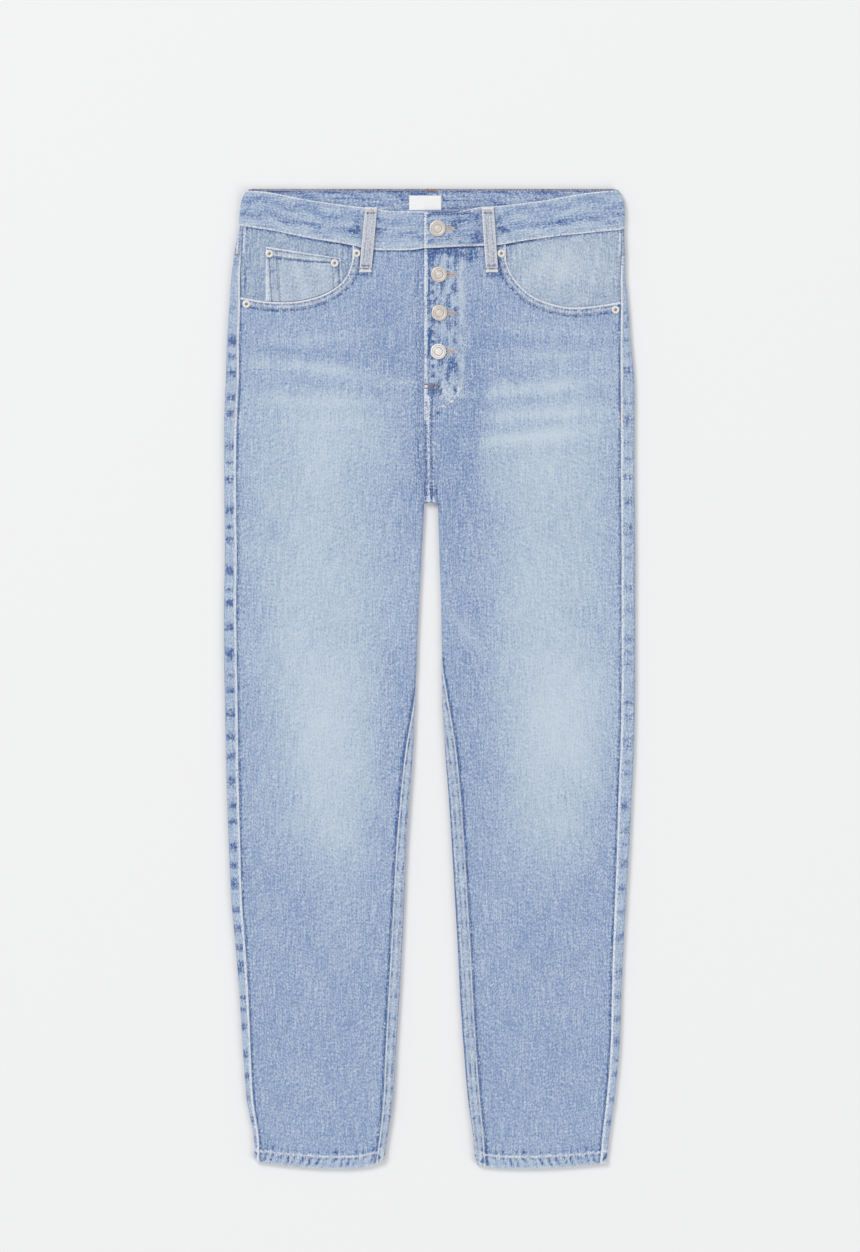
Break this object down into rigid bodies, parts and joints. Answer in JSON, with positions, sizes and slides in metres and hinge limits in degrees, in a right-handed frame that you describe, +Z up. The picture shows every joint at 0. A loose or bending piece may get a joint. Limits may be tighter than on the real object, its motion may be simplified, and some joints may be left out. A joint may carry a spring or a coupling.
{
  "type": "boyfriend jeans",
  "caption": "High-waisted light-wash boyfriend jeans laid flat, with a button fly, scooped front pockets, a coin pocket, patch pockets behind and tapered legs.",
  "frame": {"origin": "centre of the laid garment's box, on the surface it rests on", "axes": "+Y up the garment from the hems to the waist, +Z up from the surface with the front facing up, +X towards the wearer's left"},
  "size_m": [0.444, 1.0578, 0.0124],
  "materials": {
    "denim": "light stonewashed indigo twill, faded on the thighs and knees",
    "pale_denim": "paler washed denim of the facings and the coin pocket",
    "loop_denim": "greyish abraded denim of the belt loops",
    "label": "plain white woven satin, bare",
    "button_metal": "worn pale nickel with concentric rings",
    "rivet_metal": "worn silver rim with a warm centre",
    "thread": "tan and pale blue sewing thread"
  },
  "bodies": {
    "root": {"back_left": "denim", "back_pocket_left": "denim", "back_pocket_right": "denim", "back_right": "denim", "belt_loop_back_centre": "loop_denim", "belt_loop_back_left": "loop_denim", "belt_loop_back_right": "loop_denim", "belt_loop_front_left": "loop_denim", "belt_loop_front_right": "loop_denim", "button_fly_lower": "button_metal", "button_fly_middle": "button_metal", "button_fly_upper": "button_metal", "button_stand": "denim", "button_waist": "button_metal", "coin_pocket": "pale_denim", "front_left": "denim", "front_right": "denim", "pocket_facing_left": "pale_denim", "pocket_facing_right": "pale_denim", "rivet_coin_inner": "rivet_metal", "rivet_coin_outer": "rivet_metal", "rivet_left_side": "rivet_metal", "rivet_left_waist": "rivet_metal", "rivet_right_side": "rivet_metal", "rivet_right_waist": "rivet_metal", "waist_label": "label", "waistband": "denim", "yoke_left": "denim", "yoke_right": "denim"}
  },
  "joints": []
}
